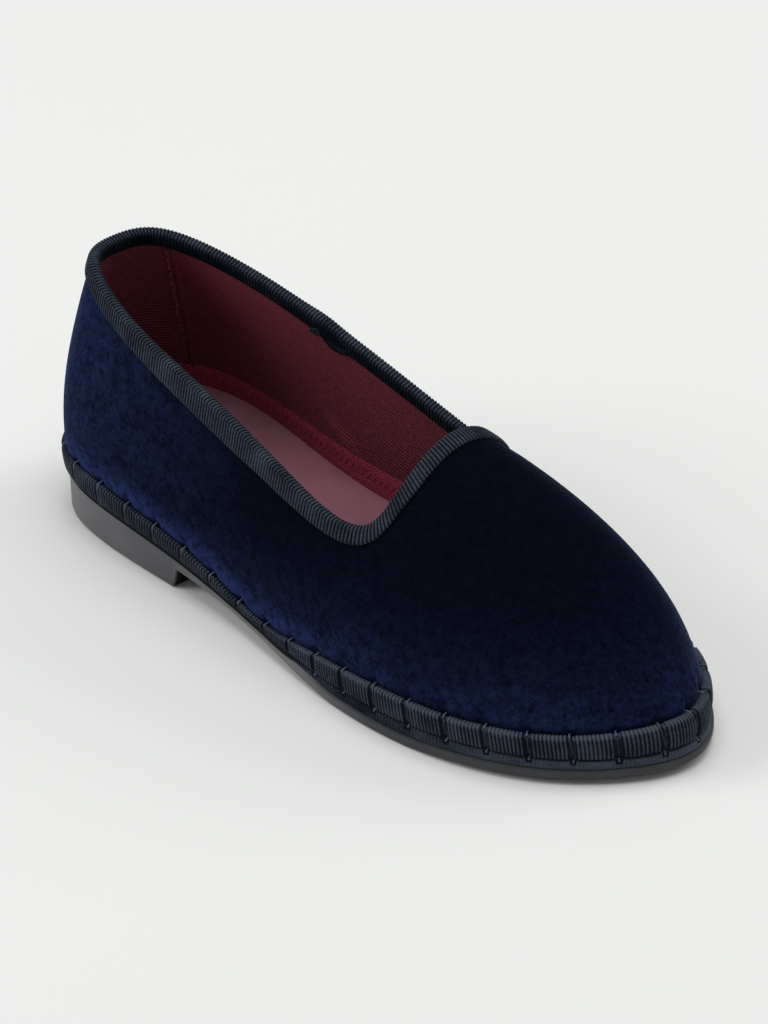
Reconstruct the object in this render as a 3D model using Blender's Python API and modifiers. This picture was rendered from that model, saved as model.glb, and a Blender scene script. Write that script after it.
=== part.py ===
"""Velvet slipper loafer for the right foot, a child's size, built in its own frame.

+X runs to the toe, +Y to the medial side, +Z up; the origin is the middle of the
footprint box on the floor. Lengths in the tables are millimetres.
"""
import bpy
import bmesh
import numpy as np

MM = 0.001
GAP = 0.3                # clearance between pieces that touch
LENGTH = 190.0           # rubber edge, heel back to toe tip
RING = 96                # steps round the shoe
ROWS = 11                # steps up the upper's wall
WALL_THICK = 1.5         # velvet, canvas and lining together
BREAST = 53.0            # front of the heel's tread face
BREAST_RUN = 1.6         # how far the breast leans forward
BREAST_SKEW = 3.0        # its medial end lies further forward
HEEL_TAPER = 0.2         # heel sides draw in towards the floor
EDGE_ROUND = 0.7         # soft lower corner of the rubber
STEP_IN = 0.7            # upper part of the forefoot edge stands back
STEP_FROM = 98.0         # the step starts here and is full STEP_RUN further on
STEP_RUN = 16.0
INSOLE_ROUND = 0.5
BINDING_THICK = 0.6
BINDING_OUT = 3.7        # binding seen outside the collar
BINDING_IN = 3.5         # binding turned inside the collar
QUARTER_WIDER = 1.8      # binding seen outside is wider by this along the quarters
QUARTER_AT = (0.16, 0.84)
QUARTER_RUN = 0.06
FOX_HEEL = 0.9           # band's thickness at the heel and at the toe
FOX_TOE = 2.1
FOX_LIP = 0.7            # band's thickness at its top edge

# Stations walk round the edge: back, medial side, toe tip, lateral side.
# rubber's outline: along, across
EDGE = [
    ("back", 0.0, 0.0),
    ("back_medial", 7.2, 17.7),
    ("heel_medial", 26.6, 24.0),
    ("shank_medial", 53.0, 21.4),
    ("waist_medial", 80.0, 19.6),
    ("joint_medial", 105.8, 27.0),
    ("ball_medial", 134.2, 34.8),
    ("toe_medial", 162.2, 33.6),
    ("tip_medial", 181.7, 22.8),
    ("tip", 190.0, 8.8),
    ("tip_lateral", 183.2, -8.0),
    ("toe_lateral", 165.2, -24.0),
    ("ball_lateral", 130.0, -33.2),
    ("joint_lateral", 101.0, -31.4),
    ("waist_lateral", 75.7, -27.6),
    ("shank_lateral", 51.6, -26.0),
    ("heel_lateral", 26.6, -24.7),
    ("back_lateral", 7.2, -17.9),
]

# collar edge of the upper at the same stations: along, across, height
TOPLINE = [
    ("back", 6.8, 0.0, 66.0),
    ("back_medial", 10.8, 10.4, 65.4),
    ("heel_medial", 28.0, 16.8, 62.4),
    ("shank_medial", 56.0, 21.2, 55.6),
    ("waist_medial", 82.0, 24.4, 47.0),
    ("joint_medial", 100.0, 26.2, 41.2),
    ("ball_medial", 110.6, 25.0, 41.0),
    ("toe_medial", 114.6, 19.6, 48.0),
    ("tip_medial", 116.0, 13.2, 54.3),
    ("tip", 116.4, 6.4, 56.6),
    ("tip_lateral", 116.6, -1.2, 55.6),
    ("toe_lateral", 116.6, -11.2, 49.6),
    ("ball_lateral", 113.0, -19.6, 41.2),
    ("joint_lateral", 101.6, -22.4, 41.4),
    ("waist_lateral", 82.0, -21.4, 46.8),
    ("shank_lateral", 56.0, -19.2, 53.2),
    ("heel_lateral", 28.2, -16.7, 59.8),
    ("back_lateral", 10.6, -10.7, 65.4),
]

# upper's wall: inset of its foot from the rubber's edge, then how the wall leaves
# the foot (lean out, rise) and how it reaches the collar (pull, drop, bow)
WALL = [
    ("back", 0.3, 3.6, 18.0, 0.0, 20.0, 6.2),
    ("back_medial", 0.3, 3.3, 18.0, 0.0, 20.0, 5.4),
    ("heel_medial", 0.4, 2.6, 17.0, 0.0, 17.0, 3.4),
    ("shank_medial", 0.8, 3.2, 15.0, 0.0, 14.0, 2.4),
    ("waist_medial", 1.2, 4.2, 13.0, 0.0, 12.0, 2.0),
    ("joint_medial", 1.7, 2.8, 13.0, 0.0, 11.0, 2.6),
    ("ball_medial", 2.1, 1.6, 14.0, 0.10, 9.0, 3.2),
    ("toe_medial", 2.5, 2.0, 17.2, 0.43, 9.5, 4.3),
    ("tip_medial", 2.8, 1.8, 18.2, 0.57, 12.0, 2.2),
    ("tip", 3.0, 1.4, 18.0, 0.58, 13.5, 0.9),
    ("tip_lateral", 2.8, 1.4, 17.0, 0.55, 12.0, 1.8),
    ("toe_lateral", 2.5, 1.6, 16.0, 0.41, 9.5, 3.8),
    ("ball_lateral", 2.1, 1.6, 14.0, 0.12, 9.0, 3.2),
    ("joint_lateral", 1.7, 2.0, 13.0, 0.0, 11.0, 2.6),
    ("waist_lateral", 1.2, 2.4, 13.0, 0.0, 12.0, 2.2),
    ("shank_lateral", 0.8, 2.6, 15.0, 0.0, 14.0, 2.4),
    ("heel_lateral", 0.4, 2.6, 17.0, 0.0, 17.0, 3.4),
    ("back_lateral", 0.3, 3.3, 18.0, 0.0, 20.0, 5.4),
]

# side profile along the foot: along, underside, rubber's bed, top of the band, top of the sock
PROFILE = [
    (0.0, 6.0, 11.2, 17.2, 20.0),
    (22.0, 6.0, 11.1, 17.3, 19.8),
    (32.0, 6.0, 10.9, 16.8, 19.6),
    (42.0, 5.9, 10.4, 15.7, 19.2),
    (52.0, 5.7, 9.6, 14.3, 18.7),
    (60.0, 5.4, 8.7, 12.8, 18.2),
    (67.0, 5.0, 7.8, 11.2, 17.7),
    (76.0, 4.3, 6.6, 9.3, 16.8),
    (87.0, 3.2, 5.7, 8.3, 15.7),
    (97.0, 2.0, 5.2, 8.9, 14.8),
    (107.0, 0.7, 5.2, 9.9, 14.2),
    (116.0, 0.0, 5.3, 10.7, 13.9),
    (128.0, 0.0, 5.5, 11.3, 13.8),
    (137.0, 0.0, 5.6, 11.5, 13.8),
    (150.0, 0.7, 5.9, 11.5, 13.9),
    (165.0, 1.4, 6.0, 11.5, 14.4),
    (180.0, 1.7, 6.0, 11.7, 15.4),
    (190.0, 2.0, 6.3, 12.7, 16.5),
]

COLOURS = {
    "outsole": ((0.058, 0.060, 0.066, 1.0), 0.55),
    "foxing_band": ((0.036, 0.044, 0.058, 1.0), 0.85),
    "upper": ((0.010, 0.014, 0.045, 1.0), 0.95),
    "topline_binding": ((0.045, 0.056, 0.072, 1.0), 0.85),
    "insole": ((0.300, 0.140, 0.170, 1.0), 0.60),
}


def columns(table):
    """The numbers of a named table, without its first column."""
    return np.array([row[1:] for row in table], float)


def ring_spline(knots, values, at):
    """Smooth closed curve through values at knots (0..1), read at parameters."""
    count = len(knots)
    step = np.diff(np.append(knots, knots[0] + 1.0))
    matrix = np.zeros((count, count))
    right = np.zeros((count, values.shape[1]))
    for i in range(count):
        before = (i - 1) % count
        after = (i + 1) % count
        matrix[i, before] += step[before]
        matrix[i, i] += 2.0 * (step[before] + step[i])
        matrix[i, after] += step[i]
        rise = (values[after] - values[i]) / step[i]
        right[i] = 6.0 * (rise - (values[i] - values[before]) / step[before])
    bend = np.linalg.solve(matrix, right)
    at = np.mod(at, 1.0)
    low = np.clip(np.searchsorted(knots, at, side="right") - 1, 0, count - 1)
    high = (low + 1) % count
    span = step[low][:, None]
    near = (at - knots[low])[:, None]
    far = span - near
    curve = (bend[low] * far ** 3 + bend[high] * near ** 3) / (6.0 * span)
    curve += (values[low] / span - bend[low] * span / 6.0) * far
    return curve + (values[high] / span - bend[high] * span / 6.0) * near


def glide(xs, ys, at):
    """Smooth curve through rows that never overshoots them."""
    gap = np.diff(xs)
    slope = np.diff(ys) / gap
    turn = np.zeros(len(xs))
    same = slope[1:] * slope[:-1] > 0.0
    total = np.where(same, slope[1:] + slope[:-1], 1.0)
    turn[1:-1] = np.where(same, 2.0 * slope[1:] * slope[:-1] / total, 0.0)
    turn[0] = slope[0]
    turn[-1] = slope[-1]
    at = np.clip(at, xs[0], xs[-1])
    low = np.clip(np.searchsorted(xs, at, side="right") - 1, 0, len(xs) - 2)
    u = (at - xs[low]) / gap[low]
    held = ys[low] * (1.0 + 2.0 * u) * (1.0 - u) ** 2 + ys[low + 1] * u * u * (3.0 - 2.0 * u)
    return held + gap[low] * (turn[low] * u * (1.0 - u) ** 2 - turn[low + 1] * u * u * (1.0 - u))


def profile(column, along):
    """One column of the side profile at positions along the foot."""
    rows = np.array(PROFILE, float)
    return glide(rows[:, 0], rows[:, column], np.asarray(along, float))


EDGE_XY = columns(EDGE)
CHORDS = np.linalg.norm(np.roll(EDGE_XY, -1, 0) - EDGE_XY, axis=1)
KNOTS = np.concatenate([[0.0], np.cumsum(CHORDS)[:-1]]) / CHORDS.sum()


def edge(at):
    """Rubber's outline and its outward normal in plan."""
    spot = ring_spline(KNOTS, EDGE_XY, at)
    ahead = ring_spline(KNOTS, EDGE_XY, at + 1e-4)
    back = ring_spline(KNOTS, EDGE_XY, at - 1e-4)
    along = (ahead - back) / np.linalg.norm(ahead - back, axis=1)[:, None]
    return spot, np.column_stack([-along[:, 1], along[:, 0]])


def upper_skin(at, up):
    """Outer face of the upper: meridians from its foot (up 0) to the collar (up 1)."""
    spot, out = edge(at)
    wall = ring_spline(KNOTS, columns(WALL), at)
    collar = ring_spline(KNOTS, columns(TOPLINE), at)
    inset, lean, rise, pull, drop, bow = wall.T[:, :, None]
    foot = np.column_stack([spot - out * inset, np.zeros(len(at))])
    foot[:, 2] = profile(2, foot[:, 0]) + GAP
    out = np.column_stack([out, np.zeros(len(at))])
    upward = np.array([0.0, 0.0, 1.0])
    first = foot + out * lean + upward * rise
    flat = (foot - collar) * np.array([1.0, 1.0, 0.0])
    second = collar + flat * pull + out * bow - upward * drop
    u = np.asarray(up, float)[..., None]
    if u.ndim == 2:
        u = u[None]
    v = 1.0 - u
    skin = foot[:, None] * v ** 3 + collar[:, None] * u ** 3
    return skin + 3.0 * u * v * (first[:, None] * v + second[:, None] * u)


def skin_normals(at, up):
    """Outward normals of the upper's skin."""
    round_ = upper_skin(at + 5e-4, up) - upper_skin(at - 5e-4, up)
    rise = upper_skin(at, np.asarray(up) + 5e-4) - upper_skin(at, np.asarray(up) - 5e-4)
    normal = np.cross(rise, round_)
    return normal / np.linalg.norm(normal, axis=2)[..., None]


def skin_at_height(at, height):
    """Where the skin reaches each height, read from a fine ladder up the wall."""
    ladder = np.linspace(0.0, 0.6, 241)
    tall = upper_skin(at, ladder)[:, :, 2]
    found = [[np.interp(z, row, ladder) for z in levels] for row, levels in zip(tall, height)]
    return np.array(found)


def skin_below_collar(at, depth):
    """Where the skin lies each depth below the collar, measured along the wall."""
    ladder = np.linspace(1.0, 0.6, 241)
    line = upper_skin(at, ladder)
    run = np.linalg.norm(np.diff(line, axis=1), axis=2).cumsum(axis=1)
    run = np.concatenate([np.zeros((len(at), 1)), run], axis=1)
    return np.array([np.interp(levels, row, ladder) for row, levels in zip(run, depth)])


def binding_width(at):
    """How far the binding reaches down outside: wider along the straight quarters."""
    return BINDING_OUT + QUARTER_WIDER * sum(np.exp(-((at - mid) / QUARTER_RUN) ** 2) for mid in QUARTER_AT)


def make_object(name, mesh_data, group):
    """Finish one piece: mesh, material with its own colour, smooth shading."""
    mesh = bpy.data.meshes.new(name)
    mesh_data.to_mesh(mesh)
    mesh_data.free()
    mesh.shade_smooth()
    mesh.set_sharp_from_angle(angle=0.7)
    colour, rough = COLOURS[name]
    material = bpy.data.materials.new(name)
    material.use_nodes = True
    shader = material.node_tree.nodes["Principled BSDF"]
    shader.inputs["Base Color"].default_value = colour
    shader.inputs["Roughness"].default_value = rough
    mesh.materials.append(material)
    piece = bpy.data.objects.new(name, mesh)
    group.objects.link(piece)
    return piece


def mapped_grid(points, closed):
    """A grid laid on points[i, j]; closed says whether j runs back to its start."""
    if closed:
        points = np.concatenate([points, points[:, :1]], axis=1)
    rows, cols = points.shape[:2]
    grid = bmesh.new()
    bmesh.ops.create_grid(grid, x_segments=cols - 1, y_segments=rows - 1, size=1.0)
    grid.verts.ensure_lookup_table()
    for vert in grid.verts:
        j = round((vert.co.x + 1.0) * 0.5 * (cols - 1))
        i = round((vert.co.y + 1.0) * 0.5 * (rows - 1))
        vert.co = points[i, j] * MM
    bmesh.ops.remove_doubles(grid, verts=grid.verts, dist=1e-6)
    bmesh.ops.dissolve_degenerate(grid, edges=grid.edges, dist=1e-7)
    return grid


def ring_of(points):
    """A closed ring solid: points[i, j] is section corner j at step i."""
    points = np.concatenate([points, points[:1]], axis=0)
    grid = mapped_grid(points, True)
    bmesh.ops.recalc_face_normals(grid, faces=grid.faces)
    return grid


def stations():
    """Positions along the foot, close together at the round ends and at the breast."""
    turn = np.linspace(0.0, np.pi, 35)
    plain = 0.5 * LENGTH * (1.0 - np.cos(turn))
    keep = plain[np.abs(plain - BREAST - 0.5 * BREAST_RUN) > 3.0]
    return np.sort(np.concatenate([keep, [BREAST, BREAST + BREAST_RUN]]))


def sides_at(along):
    """Ring parameters of the medial and the lateral edge at positions along the foot."""
    fine = np.linspace(0.0, 1.0, 4001)
    line = edge(fine)[0][:, 0]
    tip = int(np.argmax(line))
    share = along / LENGTH * (line[tip] - line[0]) + line[0]
    skew = BREAST_SKEW * np.exp(-((along - BREAST) / 25.0) ** 2) * np.minimum(along / 20.0, 1.0)
    medial = np.interp(share + skew, line[:tip + 1], fine[:tip + 1])
    lateral = np.interp(share, line[tip:][::-1], fine[tip:][::-1])
    lateral[0] = 1.0
    return medial, lateral


def lining_at_height(at, height):
    """Inner face of the wall, with a clearance, where it reaches each height."""
    ladder = np.linspace(0.0, 0.6, 121)
    face = upper_skin(at, ladder) - skin_normals(at, ladder) * (WALL_THICK + 2.0 * GAP)
    found = []
    for row, level in zip(face, height):
        found.append([np.interp(level, row[:, 2], row[:, 0]), np.interp(level, row[:, 2], row[:, 1])])
    return np.array(found)


def slab(sides):
    """Solid of sections: for the medial and lateral side a list of level lines, top to bottom."""
    points = np.stack(sides[0] + sides[1][::-1], axis=1)
    half = len(sides[0])
    for end in (0, -1):
        middle = 0.5 * (points[end, :half] + points[end, half:][::-1])
        points[end, :half] = middle
        points[end, half:] = middle[::-1]
    grid = mapped_grid(points, True)
    bmesh.ops.recalc_face_normals(grid, faces=grid.faces)
    return grid


def build_outsole(group):
    """Rubber unit: heel and breast, arched waist, flat tread, toe spring, stepped side."""
    along = stations()
    bed = profile(2, along)
    under = np.where(along <= BREAST + 0.01, 0.0, profile(1, along))
    heel = along <= BREAST + 0.01
    grown = np.clip((along - STEP_FROM) / STEP_RUN, 0.0, 1.0)
    share = np.where(heel, 0.55, 0.68 - 0.24 * grown)
    step = under + share * (bed - under)
    back = STEP_IN * grown
    taper = np.where(heel, HEEL_TAPER, 0.0)
    half = 0.5 * taper
    levels = [
        (back + 1.0, bed),
        (back, bed - 0.3),
        (back + 0.4 * half, step + 0.2),
        (half, step - 0.2),
        (taper, under + EDGE_ROUND),
        (taper + EDGE_ROUND, under),
    ]
    sides = []
    for at in sides_at(along):
        spot, out = edge(at)
        sides.append([np.column_stack([spot - out * inset[:, None], tall]) for inset, tall in levels])
    return make_object("outsole", slab(sides), group)


def build_insole(group):
    """Sock slab lying on the rubber's bed inside the upper's wall."""
    along = stations()
    along = along[(along <= BREAST - 1.0) | (along >= BREAST + 2.5)]
    sides = []
    for at in sides_at(along):
        sock = profile(4, edge(at)[0][:, 0])
        for _ in range(2):
            flat = lining_at_height(at, sock)
            sock = profile(4, flat[:, 0])
        out = edge(at)[1] * INSOLE_ROUND
        foot = lining_at_height(at, profile(2, flat[:, 0]) + 2.0 * GAP)
        sides.append([
            np.column_stack([flat - out, sock]),
            np.column_stack([flat, sock - INSOLE_ROUND]),
            np.column_stack([foot, profile(2, foot[:, 0]) + 2.0 * GAP]),
        ])
    return make_object("insole", slab(sides), group)


def build_upper(group):
    """Hollow wall, open at the collar and underneath."""
    at = np.arange(RING) / RING
    up = np.linspace(0.0, 1.0, ROWS)
    skin = upper_skin(at, up)
    skin = np.concatenate([skin, skin[:1]], axis=0)
    grid = mapped_grid(skin, False)
    bmesh.ops.recalc_face_normals(grid, faces=grid.faces)
    piece = make_object("upper", grid, group)
    wall = piece.modifiers.new("wall", "SOLIDIFY")
    wall.thickness = WALL_THICK * MM
    wall.offset = -1.0
    wall.use_even_offset = False
    return piece


def build_foxing(group):
    """Grosgrain band on the upper's foot, thickest at the toe."""
    at = np.arange(RING) / RING
    along = edge(at)[0][:, 0]
    low = profile(2, along) + GAP
    top = profile(3, along)
    thick = glide(np.array([0.0, 60.0, LENGTH]), np.array([FOX_HEEL, FOX_HEEL + 0.2, FOX_TOE]), along)
    share = (0.0, 0.30, 0.70, 1.0)
    depth = (0.92, 1.0, 0.82, 0.0)
    height = low[:, None] + (top - low)[:, None] * np.array(share)
    up = skin_at_height(at, height)
    skin = np.stack([upper_skin(at[i:i + 1], up[i])[0] for i in range(RING)])
    out = np.stack([skin_normals(at[i:i + 1], up[i])[0] for i in range(RING)])
    swell = FOX_LIP + (thick - FOX_LIP)[:, None] * np.array(depth)
    inner = skin + out * GAP
    outer = skin + out * (GAP + swell)[..., None]
    outer[:, 0, 2] = low
    inner[:, 0, 2] = low
    section = np.concatenate([inner, outer[:, ::-1]], axis=1)
    return make_object("foxing_band", ring_of(section), group)


def build_binding(group):
    """Ribbon folded over the collar: outer leg, rounded fold, inner leg."""
    at = np.arange(RING) / RING
    wide = binding_width(at)
    up = skin_below_collar(at, wide[:, None] * np.array([1.0, 0.5, 0.0]))
    skin = np.stack([upper_skin(at[i:i + 1], up[i])[0] for i in range(RING)])
    out = np.stack([skin_normals(at[i:i + 1], up[i])[0] for i in range(RING)])
    over = skin[:, 2] - skin[:, 1]
    over /= np.linalg.norm(over, axis=1)[:, None]
    crown = skin[:, 2]
    face = out[:, 2]
    deep = BINDING_IN / wide
    inside = crown[:, None] + (skin - crown[:, None]) * deep[:, None, None]
    near = WALL_THICK + GAP
    far = near + BINDING_THICK
    rim = GAP + BINDING_THICK
    section = [
        skin[:, 0] + out[:, 0] * GAP,
        skin[:, 1] + out[:, 1] * GAP,
        crown + face * GAP + over * GAP,
        crown - face * near + over * GAP,
        inside[:, 1] - out[:, 1] * near,
        inside[:, 0] - out[:, 0] * near,
        inside[:, 0] - out[:, 0] * far,
        inside[:, 1] - out[:, 1] * far,
        crown - face * far + over * 0.2,
        crown - face * (0.5 * WALL_THICK + 0.8) + over * rim,
        crown - face * (0.5 * WALL_THICK - 0.8) + over * rim,
        crown + face * rim + over * 0.2,
        skin[:, 1] + out[:, 1] * rim,
        skin[:, 0] + out[:, 0] * rim,
    ]
    return make_object("topline_binding", ring_of(np.stack(section, axis=1)), group)


def centre(pieces):
    """Put the footprint box's middle, on the floor, at the origin."""
    bpy.context.view_layer.update()
    corners = np.concatenate([
        np.array([vert.co[:] for vert in piece.data.vertices]) for piece in pieces
    ])
    low = corners.min(axis=0)
    high = corners.max(axis=0)
    shift = (-0.5 * (low[0] + high[0]), -0.5 * (low[1] + high[1]), -low[2])
    for piece in pieces:
        for vert in piece.data.vertices:
            vert.co.x += shift[0]
            vert.co.y += shift[1]
            vert.co.z += shift[2]
        piece.data.update()


def main():
    """Build the five pieces in one collection."""
    for old in list(bpy.data.objects):
        bpy.data.objects.remove(old, do_unlink=True)
    group = bpy.data.collections.new("slipper_loafer")
    bpy.context.scene.collection.children.link(group)
    pieces = [
        build_outsole(group),
        build_insole(group),
        build_upper(group),
        build_foxing(group),
        build_binding(group),
    ]
    centre(pieces)


if __name__ == "__main__":
    main()
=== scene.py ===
"""Velvet slipper loafer for the right foot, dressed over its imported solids.

The tables are millimetres in the shoe's own frame: heel back at 0, toe along +X, medial side +Y.
"""
from functools import partial
import bpy
import bmesh
import numpy as np
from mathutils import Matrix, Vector


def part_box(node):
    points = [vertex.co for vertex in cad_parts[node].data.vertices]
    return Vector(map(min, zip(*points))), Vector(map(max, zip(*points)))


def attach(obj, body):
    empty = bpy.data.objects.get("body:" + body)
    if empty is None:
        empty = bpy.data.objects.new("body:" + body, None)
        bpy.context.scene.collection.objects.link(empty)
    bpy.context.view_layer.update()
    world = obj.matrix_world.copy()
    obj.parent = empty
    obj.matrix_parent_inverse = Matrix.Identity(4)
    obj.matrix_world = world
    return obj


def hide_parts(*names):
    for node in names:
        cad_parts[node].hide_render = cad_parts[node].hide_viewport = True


bl_info = {
    "name": "Velvet Slipper Loafer",
    "version": (1, 0, 0),
    "blender": (4, 5, 0),
    "location": "View3D > Sidebar > Slipper",
    "description": "Velvet, ribbon, lining, sock and rubber of one right slipper",
    "category": "Add Mesh",
}

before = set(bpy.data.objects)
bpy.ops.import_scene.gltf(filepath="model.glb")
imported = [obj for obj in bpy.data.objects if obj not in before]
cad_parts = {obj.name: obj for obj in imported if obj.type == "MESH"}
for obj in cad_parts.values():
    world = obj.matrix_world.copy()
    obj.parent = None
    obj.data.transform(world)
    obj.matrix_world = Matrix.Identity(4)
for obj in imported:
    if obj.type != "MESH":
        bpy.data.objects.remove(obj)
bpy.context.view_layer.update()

MM = 0.001
LENGTH = 190.0  # rubber edge, heel back to toe tip
GAP = 0.3  # clearance the solids keep
WALL_THICK = 1.5  # velvet, canvas and lining together
VELVET_THICK = 0.8
LINING_THICK = 0.5
BREAST = 53.0  # front of the heel's tread face
BREAST_RUN = 1.6
BREAST_SKEW = 3.0
SOLE_ROUND = 0.7  # rounding of the rubber's lower edge
GROOVE = 0.4  # depth of the dark groove under the rand
TREAD_DEEP = 0.55  # depth of the grooves underneath
STEP_FROM = 98.0  # the step in the forefoot edge starts here
STEP_RUN = 16.0
STEP_BACK = 1.1  # how far the step lies behind the rubber's edge
WELT_BACK = 0.62  # and the welt strip on it
STITCHES = 43  # whip stitches round the rand
STITCH_PHASE = 0.05
GRIP_FROM = 70.0  # in front of this the stitches pull the rand in harder
WAIST = 86.0  # here the rand sinks furthest behind the velvet's pile
WAIST_RUN = 16.0
RAND_SUNK = 0.8  # and by this much
RAND_OFF = 0.15  # rand ribbon stands this far off the velvet
PER_RIB = 4  # rows of points that draw one rib of a ribbon
WARP = 0.28  # spacing of a ribbon's fine threads
KNOT = 1.3  # spacing of the tape's knots
SEAM_AT = 0.052  # lining's heel seam, as a share of the way round
SEAM_STITCHES = 9
TAPE_WIDE = 5.6
ZIGZAGS = 230  # turns of the tape's thread
JOIN_AT = 0.153  # where the collar ribbon's ends meet
BINDING_OUT = 3.7  # collar ribbon seen outside
BINDING_IN = 3.4  # and inside
QUARTER_WIDER = 1.8  # how much wider the outside is along the quarters
QUARTER_AT = (0.16, 0.84)
QUARTER_RUN = 0.06
SOFT = 1.2  # radians; ribs and threads below this angle shade smooth
CAMERA_AT = (0.7516, -0.7052, 0.6862)  # metres
CAMERA_AIM = (0.003, 0.0, 0.029)
CAMERA_ROLL = -1.0  # degrees
CAMERA_LENS = 186.0  # millimetres

# stations round the shoe, each with three groups of numbers:
# rubber's outline (along, across); collar edge of the upper (along, across, height);
# upper's wall (inset of its foot from the outline, then lean and rise where it leaves
# the foot, and pull, drop and bow where it reaches the collar)
STATIONS = [
    ("back", (0.0, 0.0), (6.8, 0.0, 66.0), (0.3, 3.6, 18.0, 0.0, 20.0, 6.2)),
    ("back_medial", (7.2, 17.7), (10.8, 10.4, 65.4), (0.3, 3.3, 18.0, 0.0, 20.0, 5.4)),
    ("heel_medial", (26.6, 24.0), (28.0, 16.8, 62.4), (0.4, 2.6, 17.0, 0.0, 17.0, 3.4)),
    ("shank_medial", (53.0, 21.4), (56.0, 21.2, 55.6), (0.8, 3.2, 15.0, 0.0, 14.0, 2.4)),
    ("waist_medial", (80.0, 19.6), (82.0, 24.4, 47.0), (1.2, 4.2, 13.0, 0.0, 12.0, 2.0)),
    ("joint_medial", (105.8, 27.0), (100.0, 26.2, 41.2), (1.7, 2.8, 13.0, 0.0, 11.0, 2.6)),
    ("ball_medial", (134.2, 34.8), (110.6, 25.0, 41.0), (2.1, 1.6, 14.0, 0.1, 9.0, 3.2)),
    ("toe_medial", (162.2, 33.6), (114.6, 19.6, 48.0), (2.5, 2.0, 17.2, 0.43, 9.5, 4.3)),
    ("tip_medial", (181.7, 22.8), (116.0, 13.2, 54.3), (2.8, 1.8, 18.2, 0.57, 12.0, 2.2)),
    ("tip", (190.0, 8.8), (116.4, 6.4, 56.6), (3.0, 1.4, 18.0, 0.58, 13.5, 0.9)),
    ("tip_lateral", (183.2, -8.0), (116.6, -1.2, 55.6), (2.8, 1.4, 17.0, 0.55, 12.0, 1.8)),
    ("toe_lateral", (165.2, -24.0), (116.6, -11.2, 49.6), (2.5, 1.6, 16.0, 0.41, 9.5, 3.8)),
    ("ball_lateral", (130.0, -33.2), (113.0, -19.6, 41.2), (2.1, 1.6, 14.0, 0.12, 9.0, 3.2)),
    ("joint_lateral", (101.0, -31.4), (101.6, -22.4, 41.4), (1.7, 2.0, 13.0, 0.0, 11.0, 2.6)),
    ("waist_lateral", (75.7, -27.6), (82.0, -21.4, 46.8), (1.2, 2.4, 13.0, 0.0, 12.0, 2.2)),
    ("shank_lateral", (51.6, -26.0), (56.0, -19.2, 53.2), (0.8, 2.6, 15.0, 0.0, 14.0, 2.4)),
    ("heel_lateral", (26.6, -24.7), (28.2, -16.7, 59.8), (0.4, 2.6, 17.0, 0.0, 17.0, 3.4)),
    ("back_lateral", (7.2, -17.9), (10.6, -10.7, 65.4), (0.3, 3.3, 18.0, 0.0, 20.0, 5.4)),
]

# side profile along the foot: along, then the columns named below
UNDER, BED, RAND_TOP, SOCK_TOP = 1, 2, 3, 4
PROFILE = [
    (0.0, 6.0, 11.2, 17.2, 20.0),
    (22.0, 6.0, 11.1, 17.3, 19.8),
    (32.0, 6.0, 10.9, 16.8, 19.6),
    (42.0, 5.9, 10.4, 15.7, 19.2),
    (52.0, 5.7, 9.6, 14.3, 18.7),
    (60.0, 5.4, 8.7, 12.8, 18.2),
    (67.0, 5.0, 7.8, 11.2, 17.7),
    (76.0, 4.3, 6.6, 9.3, 16.8),
    (87.0, 3.2, 5.7, 8.3, 15.7),
    (97.0, 2.0, 5.2, 8.9, 14.8),
    (107.0, 0.7, 5.2, 9.9, 14.2),
    (116.0, 0.0, 5.3, 10.7, 13.9),
    (128.0, 0.0, 5.5, 11.3, 13.8),
    (137.0, 0.0, 5.6, 11.5, 13.8),
    (150.0, 0.7, 5.9, 11.5, 13.9),
    (165.0, 1.4, 6.0, 11.5, 14.4),
    (180.0, 1.7, 6.0, 11.7, 15.4),
    (190.0, 2.0, 6.3, 12.7, 16.5),
]

RGBA = {"size": 4, "min": 0.0, "max": 1.0}


def linear(code):
    """Linear colour of an sRGB hex code."""
    parts = [int(code[i:i + 2], 16) / 255.0 for i in (0, 2, 4)]
    return tuple(c / 12.92 if c <= 0.04045 else ((c + 0.055) / 1.055) ** 2.4 for c in parts) + (1.0,)


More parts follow.
